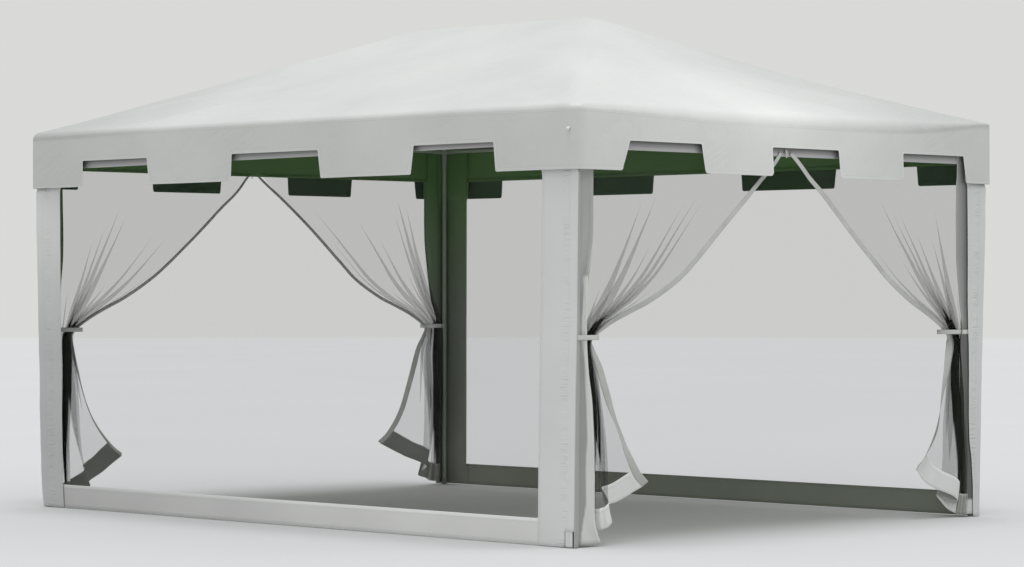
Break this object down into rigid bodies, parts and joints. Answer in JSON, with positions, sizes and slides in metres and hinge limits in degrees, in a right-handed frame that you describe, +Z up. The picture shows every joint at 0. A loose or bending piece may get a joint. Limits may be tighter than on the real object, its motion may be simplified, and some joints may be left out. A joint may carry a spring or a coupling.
{
  "type": "garden gazebo",
  "caption": "Free-standing tube-frame gazebo with a hipped fabric cover, notched valance, netting walls and netting curtains tied back at both ends.",
  "frame": {"origin": "on the ground under the middle of the frame", "axes": "+X along the long side, +Y from the front long side to the back, +Z up"},
  "size_m": [4, 3, 2.512],
  "materials": {
    "steel_tube": "white powder coat, satin",
    "cover_fabric": "coated woven polyethylene, white outside, soft sheen",
    "wall_border": "woven polyethylene, matt white",
    "netting": "fine black mosquito netting",
    "strap_webbing": "white woven tape, matt"
  },
  "bodies": {
    "root": {"post_front_left": "steel_tube", "post_front_right": "steel_tube", "post_back_left": "steel_tube", "post_back_right": "steel_tube", "corner_connector_front_left": "steel_tube", "corner_connector_front_right": "steel_tube", "corner_connector_back_left": "steel_tube", "corner_connector_back_right": "steel_tube", "hip_rafter_front_left": "steel_tube", "hip_rafter_front_right": "steel_tube", "hip_rafter_back_left": "steel_tube", "hip_rafter_back_right": "steel_tube", "eave_tube_front": "steel_tube", "eave_tube_right": "steel_tube", "eave_tube_back": "steel_tube", "eave_tube_left": "steel_tube", "ridge_tube": "steel_tube", "roof_panel_front": "cover_fabric", "roof_panel_right": "cover_fabric", "roof_panel_back": "cover_fabric", "roof_panel_left": "cover_fabric", "valance_front": "cover_fabric", "valance_right": "cover_fabric", "valance_back": "cover_fabric", "valance_left": "cover_fabric", "header_band_front": "wall_border", "header_band_right": "wall_border", "header_band_back": "wall_border", "header_band_left": "wall_border", "corner_sleeve_front_left_long": "wall_border", "corner_sleeve_front_left_short": "wall_border", "corner_sleeve_front_right_long": "wall_border", "corner_sleeve_front_right_short": "wall_border", "corner_sleeve_back_left_long": "wall_border", "corner_sleeve_back_left_short": "wall_border", "corner_sleeve_back_right_long": "wall_border", "corner_sleeve_back_right_short": "wall_border", "bottom_border_front": "wall_border", "bottom_border_back": "wall_border", "netting_panel_front": "netting", "netting_panel_back": "netting", "curtain_right_front": "netting", "curtain_right_back": "netting", "curtain_left_front": "netting", "curtain_left_back": "netting", "strap_right_front": "strap_webbing", "strap_right_back": "strap_webbing", "strap_left_front": "strap_webbing", "strap_left_back": "strap_webbing"}
  },
  "joints": []
}
